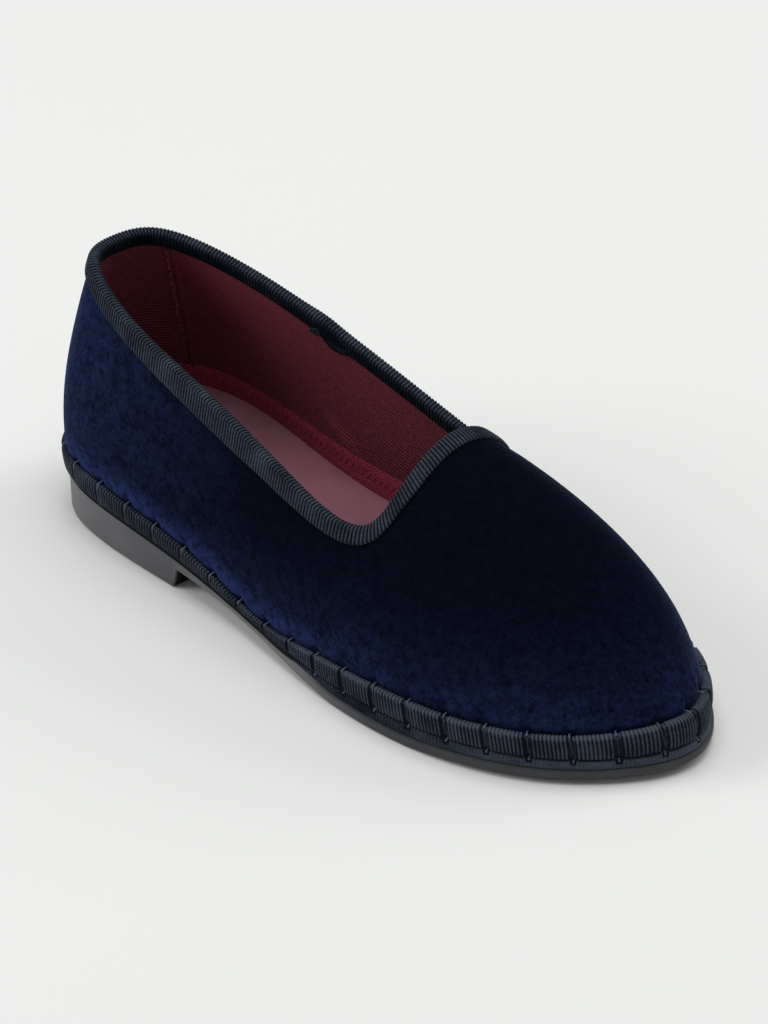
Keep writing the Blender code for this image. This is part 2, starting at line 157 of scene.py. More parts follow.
class SlipperColours(bpy.types.PropertyGroup):
    """Colours of the slipper's cloths, leather and rubber."""
    velvet: bpy.props.FloatVectorProperty(
        name="Velvet", description="Pile seen end on", subtype="COLOR", default=linear("07080d"), **RGBA)
    # painted light: the blue of the lit pile along the foot, at the heel and just above the rand, mixed in
    # by the tone attribute
    velvet_lit: bpy.props.FloatVectorProperty(
        name="Brushed velvet", description="Pile laid over, where it turns bluer", subtype="COLOR",
        default=linear("25315a"), **RGBA)
    velvet_sheen: bpy.props.FloatVectorProperty(
        name="Velvet sheen", description="Glow of the pile seen from its side", subtype="COLOR",
        default=linear("8494c0"), **RGBA)
    # ribbon is the rib crowns painted lit; ribbon_valley_shade is painted shade between the ribs
    ribbon: bpy.props.FloatVectorProperty(
        name="Ribbon", description="Ribs of the collar and rand ribbon", subtype="COLOR",
        default=linear("484f5c"), **RGBA)
    ribbon_valley_shade: bpy.props.FloatVectorProperty(
        name="Ribbon valleys", description="Between the ribs", subtype="COLOR",
        default=linear("10141d"), **RGBA)
    # lit colour of the whip stitches' painted-highlight ends
    thread: bpy.props.FloatVectorProperty(
        name="Thread", description="Waxed whip stitch thread", subtype="COLOR",
        default=linear("5a637a"), **RGBA)
    lining: bpy.props.FloatVectorProperty(
        name="Lining", description="Burgundy twill inside", subtype="COLOR",
        default=linear("883a47"), **RGBA)
    # painted shade between the twill's ribs
    lining_valley_shade: bpy.props.FloatVectorProperty(
        name="Lining valleys", description="Between the twill's ribs", subtype="COLOR",
        default=linear("3a121b"), **RGBA)
    tape: bpy.props.FloatVectorProperty(
        name="Tape", description="Tape along the sock's edge", subtype="COLOR",
        default=linear("ac3d58"), **RGBA)
    seam_thread: bpy.props.FloatVectorProperty(
        name="Seam thread", description="Pale thread in the lining", subtype="COLOR",
        default=linear("8d6a6c"), **RGBA)
    sock: bpy.props.FloatVectorProperty(
        name="Sock", description="Mauve leather sock", subtype="COLOR", default=linear("8f5d6b"), **RGBA)
    rubber: bpy.props.FloatVectorProperty(
        name="Rubber", description="Moulded sole", subtype="COLOR", default=linear("434447"), **RGBA)
    # wear and painted light: the heel and the waist's lip are worn lighter and painted lit
    rubber_worn_and_lit: bpy.props.FloatVectorProperty(
        name="Scuffed rubber", description="Heel, rubbed lighter", subtype="COLOR",
        default=linear("737375"), **RGBA)
    floor: bpy.props.FloatVectorProperty(
        name="Floor", description="Studio floor", subtype="COLOR", default=linear("f0f1ee"), **RGBA)


class SlipperSizes(bpy.types.PropertyGroup):
    """Sizes of the sewn and woven detail."""
    rib: bpy.props.FloatProperty(
        name="Ribbon rib", description="Spacing of the ribbon's ribs", subtype="DISTANCE", unit="LENGTH",
        default=0.93 * MM, min=0.5 * MM, max=2.0 * MM, precision=5)
    rib_height: bpy.props.FloatProperty(
        name="Rib height", description="Half the height of a rib", subtype="DISTANCE", unit="LENGTH",
        default=0.15 * MM, min=0.0, max=0.3 * MM, precision=5)
    pucker: bpy.props.FloatProperty(
        name="Pucker", description="How deep a whip stitch pulls the rand in", subtype="DISTANCE",
        unit="LENGTH", default=1.0 * MM, min=0.0, max=1.6 * MM, precision=5)
    thread: bpy.props.FloatProperty(
        name="Thread", description="Radius of the whip stitch thread", subtype="DISTANCE", unit="LENGTH",
        default=0.25 * MM, min=0.1 * MM, max=0.5 * MM, precision=5)
    lining_rib: bpy.props.FloatProperty(
        name="Lining rib", description="Spacing of the lining's ribs", subtype="DISTANCE", unit="LENGTH",
        default=0.85 * MM, min=0.4 * MM, max=2.0 * MM, precision=5)
    tread: bpy.props.FloatProperty(
        name="Tread", description="Spacing of the grooves underneath", subtype="DISTANCE", unit="LENGTH",
        default=3.2 * MM, min=2.0 * MM, max=6.0 * MM, precision=5)


def ring_spline(knots, values, at):
    """Smooth closed curve through values at knots (0..1), read at parameters."""
    count = len(knots)
    step = np.diff(np.append(knots, knots[0] + 1.0))
    matrix = np.zeros((count, count))
    right = np.zeros((count, values.shape[1]))
    for i in range(count):
        before = (i - 1) % count
        after = (i + 1) % count
        matrix[i, before] += step[before]
        matrix[i, i] += 2.0 * (step[before] + step[i])
        matrix[i, after] += step[i]
        rise = (values[after] - values[i]) / step[i]
        right[i] = 6.0 * (rise - (values[i] - values[before]) / step[before])
    bend = np.linalg.solve(matrix, right)
    at = np.mod(at, 1.0)
    low = np.clip(np.searchsorted(knots, at, side="right") - 1, 0, count - 1)
    high = (low + 1) % count
    span = step[low][:, None]
    near = (at - knots[low])[:, None]
    far = span - near
    curve = (bend[low] * far ** 3 + bend[high] * near ** 3) / (6.0 * span)
    curve += (values[low] / span - bend[low] * span / 6.0) * far
    return curve + (values[high] / span - bend[high] * span / 6.0) * near


def glide(xs, ys, at):
    """Smooth curve through rows that never overshoots them."""
    gap = np.diff(xs)
    slope = np.diff(ys) / gap
    turn = np.zeros(len(xs))
    same = slope[1:] * slope[:-1] > 0.0
    total = np.where(same, slope[1:] + slope[:-1], 1.0)
    turn[1:-1] = np.where(same, 2.0 * slope[1:] * slope[:-1] / total, 0.0)
    turn[0] = slope[0]
    turn[-1] = slope[-1]
    at = np.clip(at, xs[0], xs[-1])
    low = np.clip(np.searchsorted(xs, at, side="right") - 1, 0, len(xs) - 2)
    u = (at - xs[low]) / gap[low]
    held = ys[low] * (1.0 + 2.0 * u) * (1.0 - u) ** 2 + ys[low + 1] * u * u * (3.0 - 2.0 * u)
    return held + gap[low] * (turn[low] * u * (1.0 - u) ** 2 - turn[low + 1] * u * u * (1.0 - u))


def profile(column, along):
    """One column of the side profile at positions along the foot."""
    rows = np.array(PROFILE, float)
    return glide(rows[:, 0], rows[:, column], np.asarray(along, float))


def ramp(value, start, run):
    """0 up to start and 1 past start + run; a negative run falls instead."""
    return np.clip((value - start) / run, 0.0, 1.0)


def bell(value, width, power=2):
    """1 at 0, fading out over a width to both sides."""
    return np.exp(-(value / width) ** power)


EDGE_XY, COLLAR, WALL = (np.array(group, float) for group in list(zip(*STATIONS))[1:])
CHORDS = np.linalg.norm(np.roll(EDGE_XY, -1, 0) - EDGE_XY, axis=1)
KNOTS = np.concatenate([[0.0], np.cumsum(CHORDS)[:-1]]) / CHORDS.sum()
FINE = np.linspace(0.0, 1.0, 4001)
EDGE_LINE = ring_spline(KNOTS, EDGE_XY, FINE)
RIM = np.linalg.norm(np.diff(EDGE_LINE, axis=0), axis=1).sum()
SOLE_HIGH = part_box("outsole")[1]
TO_FRAME = np.array([
    SOLE_HIGH.x / MM - EDGE_LINE[:, 0].max(), SOLE_HIGH.y / MM - EDGE_LINE[:, 1].max(), 0.0])


def edge(at):
    """Rubber's outline and its outward normal in plan."""
    spot = ring_spline(KNOTS, EDGE_XY, at)
    ahead = ring_spline(KNOTS, EDGE_XY, at + 1e-4)
    back = ring_spline(KNOTS, EDGE_XY, at - 1e-4)
    along = (ahead - back) / np.linalg.norm(ahead - back, axis=1)[:, None]
    return spot, np.column_stack([-along[:, 1], along[:, 0]])


def upper_skin(at, up):
    """Outer face of the upper: meridians from its foot (up 0) to the collar (up 1)."""
    spot, out = edge(at)
    wall = ring_spline(KNOTS, WALL, at)
    collar = ring_spline(KNOTS, COLLAR, at)
    inset, lean, rise, pull, drop, bow = wall.T[:, :, None]
    foot = np.column_stack([spot - out * inset, np.zeros(len(at))])
    foot[:, 2] = profile(BED, foot[:, 0]) + GAP
    out = np.column_stack([out, np.zeros(len(at))])
    upward = np.array([0.0, 0.0, 1.0])
    first = foot + out * lean + upward * rise
    flat = (foot - collar) * np.array([1.0, 1.0, 0.0])
    second = collar + flat * pull + out * bow - upward * drop
    u = np.asarray(up, float)[..., None]
    if u.ndim == 2:
        u = u[None]
    v = 1.0 - u
    skin = foot[:, None] * v ** 3 + collar[:, None] * u ** 3
    return skin + 3.0 * u * v * (first[:, None] * v + second[:, None] * u)


def skin_normals(at, up):
    """Outward normals of the upper's skin."""
    round_ = upper_skin(at + 5e-4, up) - upper_skin(at - 5e-4, up)
    rise = upper_skin(at, np.asarray(up) + 5e-4) - upper_skin(at, np.asarray(up) - 5e-4)
    normal = np.cross(rise, round_)
    return normal / np.linalg.norm(normal, axis=2)[..., None]


def inside(at, up, depth):
    """The upper's skin moved inwards by a depth."""
    return upper_skin(at, up) - skin_normals(at, up) * depth


def depth_below(skin):
    """Distance of each skin point below the collar, along the wall."""
    depth = np.linalg.norm(np.diff(skin, axis=1), axis=2)[:, ::-1].cumsum(axis=1)[:, ::-1]
    return np.concatenate([depth, np.zeros((len(skin), 1))], axis=1)


def skin_at_height(at, height):
    """Where the skin reaches each height, read from a fine ladder up the wall."""
    ladder = np.linspace(0.0, 0.6, 241)
    tall = upper_skin(at, ladder)[:, :, 2]
    found = [[np.interp(z, row, ladder) for z in levels] for row, levels in zip(tall, height)]
    return np.array(found)


def skin_below_collar(at, depth):
    """Where the skin lies each depth below the collar, measured along the wall."""
    ladder = np.linspace(1.0, 0.4, 241)
    line = upper_skin(at, ladder)
    run = np.linalg.norm(np.diff(line, axis=1), axis=2).cumsum(axis=1)
    run = np.concatenate([np.zeros((len(at), 1)), run], axis=1)
    return np.array([np.interp(levels, row, ladder) for row, levels in zip(run, depth)])


def lining_at_height(at, height, depth):
    """A face inside the wall, depth in from the skin, where it reaches each height."""
    ladder = np.linspace(0.0, 0.7, 141)
    face = inside(at, ladder, depth)
    found = []
    for row, level in zip(face, height):
        found.append([np.interp(level, row[:, 2], row[:, 0]), np.interp(level, row[:, 2], row[:, 1])])
    return np.array(found)


def sides_at(along):
    """Ring parameters of the medial and the lateral edge at positions along the foot."""
    line = EDGE_LINE[:, 0]
    tip = int(np.argmax(line))
    share = along / LENGTH * (line[tip] - line[0]) + line[0]
    skew = BREAST_SKEW * bell(along - BREAST, 25.0) * np.minimum(along / 20.0, 1.0)
    medial = np.interp(share + skew, line[:tip + 1], FINE[:tip + 1])
    lateral = np.interp(share, line[tip:][::-1], FINE[tip:][::-1])
    lateral[0] = 1.0
    return medial, lateral


def stitch_distance(at):
    """Millimetres round the rand to the nearest whip stitch."""
    turn = np.mod(at * STITCHES - STITCH_PHASE + 0.5, 1.0) - 0.5
    return turn * RIM / STITCHES


def wobble(at, seed):
    """Slow unevenness round the shoe, about -1 to 1, the same on each run."""
    total = np.zeros_like(at)
    for count, weight in ((5, 0.4), (9, 0.3), (16, 0.2), (29, 0.15)):
        total += weight * np.sin(2.0 * np.pi * count * at + seed * count * 1.7)
    return total


def lay_grid(mesh, points, pattern=None, tone=None):
    """Add a grid laid on points[i, j]; pattern is its UV place in millimetres, tone its painted light and
    shade, and on the rubber its wear.
    """
    layer = mesh.loops.layers.uv.get("UVMap") or mesh.loops.layers.uv.new("UVMap")
    painted_light_and_wear = mesh.verts.layers.float.get("painted_light_and_wear") or mesh.verts.layers.float.new("painted_light_and_wear")
    rows, cols = points.shape[:2]
    made = bmesh.ops.create_grid(mesh, x_segments=cols - 1, y_segments=rows - 1, size=1.0)["verts"]
    spots = (points + TO_FRAME) * MM
    place = {}
    for vert in made:
        j = round((vert.co.x + 1.0) * 0.5 * (cols - 1))
        i = round((vert.co.y + 1.0) * 0.5 * (rows - 1))
        place[vert] = (i, j)
        vert.co = spots[i, j]
        vert[painted_light_and_wear] = 0.0 if tone is None else tone[i, j]
    if pattern is not None:
        for face in {face for vert in made for face in vert.link_faces}:
            for loop in face.loops:
                loop[layer].uv = pattern[place[loop.vert]]


def looped(rows):
    """Rows with the first repeated at the end, for closed rings."""
    return np.concatenate([rows, rows[:1]], axis=0)


def section_of(outer, inner):
    """Columns out along one face and back along the other, closed with the first."""
    return np.concatenate([outer, inner[:, ::-1], outer[:, :1]], axis=1)


def cloth_map(run, across):
    """Pattern places in millimetres: run for each row, across over the columns."""
    return np.stack(np.broadcast_arrays(run[:, None], across), axis=2)


def ribs_round(sizes):
    """Ribs of the ribbon round the rand, as many between each two stitches."""
    return STITCHES * round(RIM / STITCHES / (sizes.rib / MM))


def rib_run(count, sizes):
    """Millimetres along a ribbon for a count of rows."""
    return np.arange(count) / PER_RIB * sizes.rib / MM


def lay_tube(mesh, path, radius, sides, flat=1.0, ends=True, tone=0.0):
    """Add a tube along a path; radius per point, flat squeezes it towards up."""
    path = np.asarray(path, float)
    radius = np.broadcast_to(radius, (len(path),))
    way = np.gradient(path, axis=0)
    way /= np.linalg.norm(way, axis=1)[:, None]
    up = np.tile(np.array([0.13, 0.21, 0.97]), (len(path), 1))
    side = np.cross(way, up)
    side /= np.linalg.norm(side, axis=1)[:, None]
    up = np.cross(side, way)
    turn = np.linspace(0.0, 2.0 * np.pi, sides + 1)
    turn[-1] = 0.0
    ring = side[:, None] * np.cos(turn)[None, :, None] + up[:, None] * np.sin(turn)[None, :, None] * flat
    points = path[:, None] + ring * radius[:, None, None]
    if ends:
        points = np.concatenate([
            np.repeat(path[:1, None], sides + 1, axis=1), points,
            np.repeat(path[-1:, None], sides + 1, axis=1)], axis=0)
    pattern = cloth_map(np.arange(len(points)), np.linspace(0.0, 1.0, sides + 1))
    lay_grid(mesh, points, pattern, np.full(points.shape[:2], tone))


def dress(name, mesh, material, node=None, sharp=0.9):
    """Close seams and poles, turn faces outwards and hand the piece to the frame."""
    bmesh.ops.remove_doubles(mesh, verts=mesh.verts, dist=1e-6)
    bmesh.ops.dissolve_degenerate(mesh, edges=mesh.edges, dist=1e-7)
    bmesh.ops.recalc_face_normals(mesh, faces=mesh.faces)
    data = bpy.data.meshes.new(name)
    mesh.to_mesh(data)
    mesh.free()
    data.shade_smooth()
    data.set_sharp_from_angle(angle=sharp)
    data.materials.append(material)
    piece = bpy.data.objects.new(name, data)
    bpy.context.scene.collection.objects.link(piece)
    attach(piece, "root")
    if node:
        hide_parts(node)
    return piece


def lay_piece(name, material, node, points, pattern=None, tone=None, sharp=0.9):
    """Make a piece from one grid of points."""
    mesh = bmesh.new()
    lay_grid(mesh, points, pattern, tone)
    return dress(name, mesh, material, node, sharp)


def thicken(piece, thick):
    """Give a sheet of cloth its thickness, inwards."""
    wall = piece.modifiers.new("cloth", "SOLIDIFY")
    wall.thickness = thick * MM
    wall.offset = -1.0
    wall.use_even_offset = False


def feed(node, inputs):
    """Set a node's sockets to values, or link them from (node, output) or a node's first output."""
    for key, value in inputs.items():
        source, output = value if isinstance(value, tuple) and len(value) == 2 else (value, 0)
        if isinstance(source, bpy.types.Node):
            node.id_data.links.new(source.outputs[output], node.inputs[key])
        else:
            node.inputs[key].default_value = value


def add_node(tree, kind, inputs=None, **settings):
    """Add a shader node with its own settings and what feeds its sockets."""
    node = tree.nodes.new("ShaderNode" + kind)
    for key, value in settings.items():
        setattr(node, key, value)
    feed(node, inputs or {})
    return node


def new_material(name, values):
    """A named material with its Principled sockets set; returns it, what adds its nodes, and its shader."""
    material = bpy.data.materials.new(name)
    material.use_nodes = True
    shader = material.node_tree.nodes["Principled BSDF"]
    feed(shader, values)
    return material, partial(add_node, material.node_tree), shader


def velvet_material(colours):
    """Cut cotton pile: nearly black seen end on, with painted light, in blue, where the tone attribute lays
    it on, and sheen seen from the side.
    """
    material, add, shader = new_material("cotton_velvet", {
        "Roughness": 0.95, "Specular IOR Level": 0.0,
        "Sheen Weight": 0.4, "Sheen Roughness": 0.26, "Sheen Tint": colours.velvet_sheen})
    place = add("TexCoord"), "Object"
    painted_lit = add("Attribute", attribute_name="painted_light_and_wear")
    # blotches about 2.5 mm across, nap about 0.9 mm, tufts 0.35 mm
    blotch = add("TexNoise", {"Scale": 400.0, "Detail": 2.0, "Roughness": 0.6, "Vector": place})
    nap = add("TexNoise", {"Scale": 1100.0, "Detail": 2.0, "Roughness": 0.65, "Vector": place})
    tuft = add("TexNoise", {"Scale": 2800.0, "Detail": 1.0, "Roughness": 0.5, "Vector": place})
    both = add("Math", {0: blotch, 1: nap}, operation="ADD")
    mottle = add("MapRange", {"From Min": 0.7, "From Max": 1.3, "To Min": 0.25, "To Max": 1.5,
                              "Value": both})
    # painted light: the tone attribute's share of the lit blue, broken up by the pile's blotches
    share = add("Math", {0: mottle, 1: (painted_lit, "Fac")}, operation="MULTIPLY", use_clamp=True)
    tint = add("Mix", {0: share, 6: colours.velvet, 7: colours.velvet_lit}, data_type="RGBA")
    grain = add("Math", {0: tuft, 1: nap}, operation="ADD")
    bump = add("Bump", {"Strength": 0.5, "Distance": 0.25 * MM, "Height": grain})
    feed(shader, {"Base Color": (tint, 2), "Normal": bump})
    return material


def ribbon_material(colours, sizes, name, rib_shading):
    """Grosgrain: round weft ribs under fine warp threads, painted lit on the crowns and painted shade in the
    valleys, with a soft sheen.
    """
    material, add, shader = new_material(name, {
        "Roughness": 0.65, "Specular IOR Level": 0.04,
        "Sheen Weight": 0.02, "Sheen Roughness": 0.4, "Sheen Tint": linear("b8c4d6")})
    spot = add("UVMap", uv_map="UVMap")
    split = add("SeparateXYZ", {0: spot})
    # UV runs in millimetres; one rib per turn of the sine
    turn = add("Math", {0: (split, "X"), 1: 2.0 * np.pi * MM / sizes.rib}, operation="MULTIPLY")
    rib = add("Math", {0: turn}, operation="COSINE")
    place = add("TexCoord"), "Object"
    fibre = add("TexNoise", {"Scale": 2600.0, "Detail": 1.0, "Vector": place})
    wear = add("TexNoise", {"Scale": 160.0, "Detail": 2.0, "Vector": place})
    # painted shade in the valleys between the ribs and painted highlight on their crowns
    shade = add("Math", {0: rib, 1: rib_shading}, operation="MULTIPLY")
    mixed = add("Math", {0: shade, 1: fibre}, operation="ADD")
    worn = add("Math", {0: mixed, 1: wear}, operation="ADD")
    # painted shade and highlight from the tone attribute: darker on the collar ribbon's inner leg, in the
    # rand's clefts and the welt's needle holes, lighter along the rand's top edge
    painted_light_tone = add("Attribute", attribute_name="painted_light_and_wear")
    level = add("Math", {0: worn, 1: (painted_light_tone, "Fac")}, operation="SUBTRACT")
    share = add("MapRange", {"From Min": 0.7, "From Max": 1.6, "Value": level})
    tint = add("Mix", {0: share, 6: colours.ribbon_valley_shade, 7: colours.ribbon}, data_type="RGBA")
    # fine warp threads across each rib
    warp = add("Math", {0: (split, "Y"), 1: 2.0 * np.pi / WARP}, operation="MULTIPLY")
    wave = add("Math", {0: warp}, operation="SINE")
    height = add("Math", {0: wave, 1: fibre, 2: 0.0}, operation="MULTIPLY_ADD")
    bump = add("Bump", {"Strength": 0.35, "Distance": 0.08 * MM, "Height": height})
    feed(shader, {"Base Color": (tint, 2), "Normal": bump})
    return material


def lining_material(sizes, name, base, dark, dotted):
    """Rayon twill or cotton tape: fine level ribs, or knotted dots, whose crowns are painted lit and valleys
    painted in shade.
    """
    material, add, shader = new_material(name, {
        "Roughness": 0.55, "Specular IOR Level": 0.3,
        "Sheen Weight": 0.2, "Sheen Roughness": 0.45, "Sheen Tint": linear("d9a0a8")})
    spot = add("UVMap", uv_map="UVMap")
    split = add("SeparateXYZ", {0: spot})
    place = add("TexCoord"), "Object"
    drift = add("TexNoise", {"Scale": 260.0, "Detail": 2.0, "Vector": place})
    sway = add("Math", {0: drift, 1: 0.35, 2: (split, "Y")}, operation="MULTIPLY_ADD")
    turn = add("Math", {0: sway, 1: 2.0 * np.pi * MM / sizes.lining_rib}, operation="MULTIPLY")
    rib = add("Math", {0: turn}, operation="SINE")
    # the tape has knots along its ribs
    pace = add("Math", {0: (split, "X"), 1: 2.0 * np.pi / KNOT if dotted else 0.0}, operation="MULTIPLY")
    knot = add("Math", {0: pace}, operation="COSINE")
    weave = add("Math", {0: rib, 1: knot}, operation="MULTIPLY")
    fibre = add("TexNoise", {"Scale": 1500.0, "Detail": 1.0, "Vector": place})
    level = add("Math", {0: weave, 1: 0.4, 2: fibre}, operation="MULTIPLY_ADD")
    # painted light and shade: the lining darker down towards the sock, lighter up towards the collar and
    # along its crease
    rubbed = add("Attribute", attribute_name="painted_light_and_wear")
    left = add("Math", {0: level, 1: (rubbed, "Fac")}, operation="SUBTRACT")
    share = add("MapRange", {"From Min": 0.15, "From Max": 0.85, "Value": left})
    tint = add("Mix", {0: share, 6: dark, 7: base}, data_type="RGBA")
    bump = add("Bump", {"Strength": 0.6, "Distance": 0.12 * MM, "Height": level})
    feed(shader, {"Base Color": (tint, 2), "Normal": bump})
    return material


def sock_material(colours):
    """Pigskin-like sock leather, aniline dyed: fine grain, soft handling marks, low gloss."""
    material, add, shader = new_material("sock_leather", {"Roughness": 0.5, "Specular IOR Level": 0.4})
    place = add("TexCoord"), "Object"
    # grain cells about 0.7 mm, cloudy dye 14 mm
    cloud = add("TexNoise", {"Scale": 70.0, "Detail": 3.0, "Vector": place})
    cell = add("TexVoronoi", {"Scale": 1400.0, "Vector": place})
    value = add("MapRange", {"From Min": 0.3, "From Max": 0.7, "To Min": 0.86, "To Max": 1.1,
                             "Value": cloud})
    tint = add("HueSaturation", {"Color": colours.sock, "Value": value})
    gloss = add("MapRange", {"From Min": 0.3, "From Max": 0.7, "To Min": 0.42, "To Max": 0.58,
                             "Value": cloud})
    bump = add("Bump", {"Strength": 0.25, "Distance": 0.1 * MM, "Height": cell})
    feed(shader, {"Base Color": tint, "Roughness": gloss, "Normal": bump})
    return material


def rubber_material(colours):
    """Moulded rubber with a satin mould finish: even grey, fine grit, worn and painted lighter towards the
    heel, painted shade on the breast and under the rand.
    """
    material, add, shader = new_material("moulded_rubber", {"Roughness": 0.48, "Specular IOR Level": 0.15})
    place = add("TexCoord"), "Object"
    # mould grit 0.3 mm, bloom 10 mm
    grit = add("TexNoise", {"Scale": 3200.0, "Detail": 1.0, "Vector": place})
    bloom = add("TexNoise", {"Scale": 100.0, "Detail": 3.0, "Vector": place})
    value = add("MapRange", {"From Min": 0.3, "From Max": 0.7, "To Min": 0.88, "To Max": 1.1,
                             "Value": bloom})
    worn = add("Attribute", attribute_name="painted_light_and_wear")
    grey = add("Mix", {0: (worn, "Fac"), 6: colours.rubber, 7: colours.rubber_worn_and_lit}, data_type="RGBA")
    # painted shade: the heel's breast and the groove under the rand go nearly black
    shade_factor = add("MapRange", {"From Min": -1.0, "From Max": 0.0, "To Min": 0.03, "Value": (worn, "Fac")})
    shade = add("Math", {0: value, 1: shade_factor}, operation="MULTIPLY")
    tint = add("HueSaturation", {"Color": (grey, 2), "Value": shade})
    gloss = add("MapRange", {"From Min": 0.3, "From Max": 0.7, "To Min": 0.38, "To Max": 0.56,
                             "Value": bloom})
    bump = add("Bump", {"Strength": 0.2, "Distance": 0.05 * MM, "Height": grit})
    feed(shader, {"Base Color": tint, "Roughness": gloss, "Normal": bump})
    return material


def thread_material(name, colour, low, rough):
    """Twisted thread: short slanting plies with a slight waxed shine, a painted highlight towards both ends
    and painted shade in the middle.
    """
    material, add, shader = new_material(name, {"Roughness": rough, "Specular IOR Level": 0.3})
    spot = add("UVMap", uv_map="UVMap")
    twist = add("Mapping", {"Scale": (0.9, 1.0, 1.0), "Rotation": (0.0, 0.0, 0.6), "Vector": spot})
    ply = add("TexWave", {"Scale": 1.2, "Distortion": 0.5, "Vector": twist})
    value = add("MapRange", {"To Min": 0.6, "To Max": 1.3, "Value": (ply, "Fac")})
    split = add("SeparateXYZ", {0: spot})
    # a stitch counts 13 along; both of its ends get a painted highlight, the middle lies in painted shade
    middle = add("Math", {0: (split, "X"), 1: 5.6}, operation="SUBTRACT")
    reach = add("Math", {0: middle}, operation="ABSOLUTE")
    end = add("MapRange", {"From Min": 1.6, "From Max": 3.4, "Value": reach})
    dye = add("Mix", {0: end, 6: low, 7: colour}, data_type="RGBA")
    tint = add("HueSaturation", {"Color": (dye, 2), "Value": value})
    bump = add("Bump", {"Strength": 0.4, "Distance": 0.06 * MM, "Height": (ply, "Fac")})
    feed(shader, {"Base Color": tint, "Normal": bump})
    return material


def floor_material(colours):
    """Matt painted studio floor, very slightly uneven."""
    material, add, shader = new_material("matt_studio_floor", {"Roughness": 0.9, "Specular IOR Level": 0.1})
    place = add("TexCoord"), "Object"
    cloud = add("TexNoise", {"Scale": 3.0, "Detail": 2.0, "Vector": place})
    value = add("MapRange", {"To Min": 0.995, "To Max": 1.005, "Value": cloud})
    tint = add("HueSaturation", {"Color": colours.floor, "Value": value})
    feed(shader, {"Base Color": tint})
    return material


def rand_top(along):
    """Top of the rand, and how far it sinks behind the velvet's pile at the waist."""
    sunk = bell(along - WAIST, WAIST_RUN)
    return profile(RAND_TOP, along) - RAND_SUNK * sunk, sunk


def rand_section(at, share, depth, sizes):
    """Rand's face at each share of its height: skin, normals, how far the ribbon stands out, heights."""
    along = edge(at)[0][:, 0]
    low = profile(BED, along) + GAP
    far = np.abs(stitch_distance(at))
    grip = 0.4 + 0.6 * ramp(along, GRIP_FROM, 40.0)
    cleft = grip * bell(far, 0.8, 3)
    slope = grip * bell(far, 1.9)
    top, sunk = rand_top(along)
    top = top + 0.15 - 0.35 * cleft + 0.16 * wobble(at, 2.0)
    thick = glide(np.array([0.0, 60.0, LENGTH]), np.array([0.9, 1.1, 2.1]), along) - 0.35 * sunk
    height = low[:, None] + (top - low)[:, None] * np.array(share)
    up = skin_at_height(at, height)
    swell = 0.45 + (thick - 0.45)[:, None] * np.array(depth)
    swell += 0.1 * (1.0 - slope)[:, None] * np.sin(np.pi * np.array(share))
    swell -= (sizes.pucker / MM) * (0.9 * cleft + 0.1 * slope)[:, None]
    return upper_skin(at, up), skin_normals(at, up), np.maximum(swell, 0.15), height


